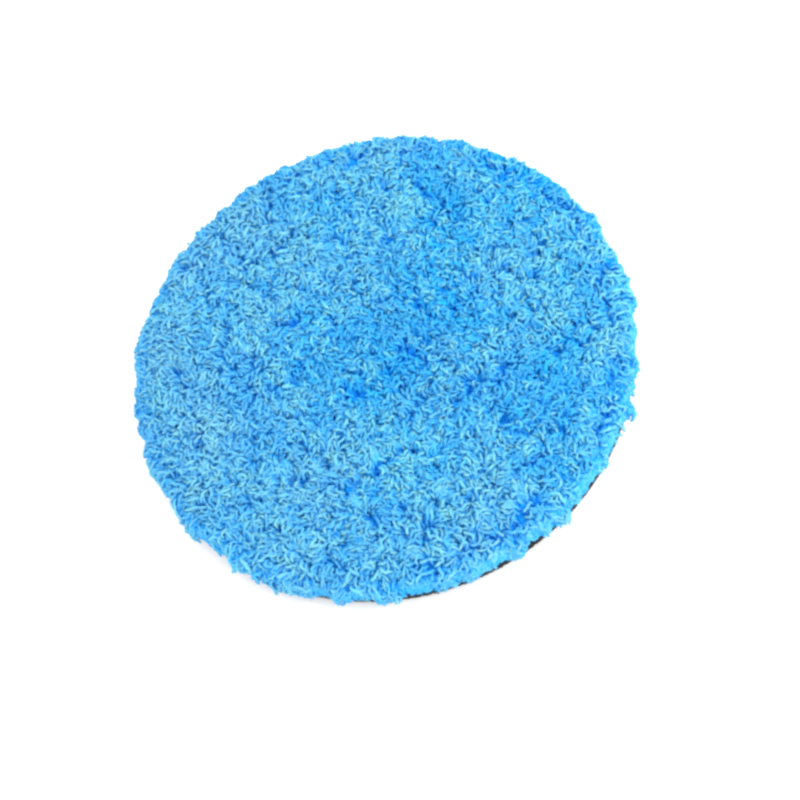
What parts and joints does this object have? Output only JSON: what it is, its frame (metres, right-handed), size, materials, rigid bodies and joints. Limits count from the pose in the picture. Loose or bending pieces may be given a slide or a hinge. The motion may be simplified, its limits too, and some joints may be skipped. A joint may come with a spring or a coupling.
{
  "type": "polishing pad",
  "caption": "Round shaggy microfibre polishing pad on a thin foam interlayer, with a hook-and-loop back for a machine polisher's backing plate.",
  "frame": {"origin": "centre of the loop face, where the pad presses onto a backing plate", "axes": "+Z is the pad's axis, from the loop face towards the pile"},
  "size_m": [0.16, 0.16, 0.018],
  "materials": {
    "loop_nylon": "brushed nylon loops, matte",
    "loop_cloth": "warp-knit cloth, matte",
    "rear_adhesive": "milky hot-melt film",
    "foam": "open-cell foam, die cut",
    "face_adhesive": "milky hot-melt film",
    "latex_coating": "dried latex, satin",
    "knit": "knitted polyester, matte",
    "microfibre": "soft split microfibre yarn with a light sheen"
  },
  "bodies": {
    "backing": {"loop_nap": "loop_nylon", "loop_backcloth": "loop_cloth", "rear_adhesive_film": "rear_adhesive", "foam_interlayer": "foam"},
    "face": {"face_adhesive_film": "face_adhesive", "yarn_lock_coating": "latex_coating", "knit_ground_cloth": "knit", "microfibre_pile": "microfibre"}
  },
  "joints": [
    {"name": "foam_compression", "type": "slide", "parent": "backing", "child": "face", "axis": [0, 0, -1], "range_m": [0, 0.0025], "stiffness_N_per_m": 2000, "deforming": ["foam_interlayer"]}
  ]
}
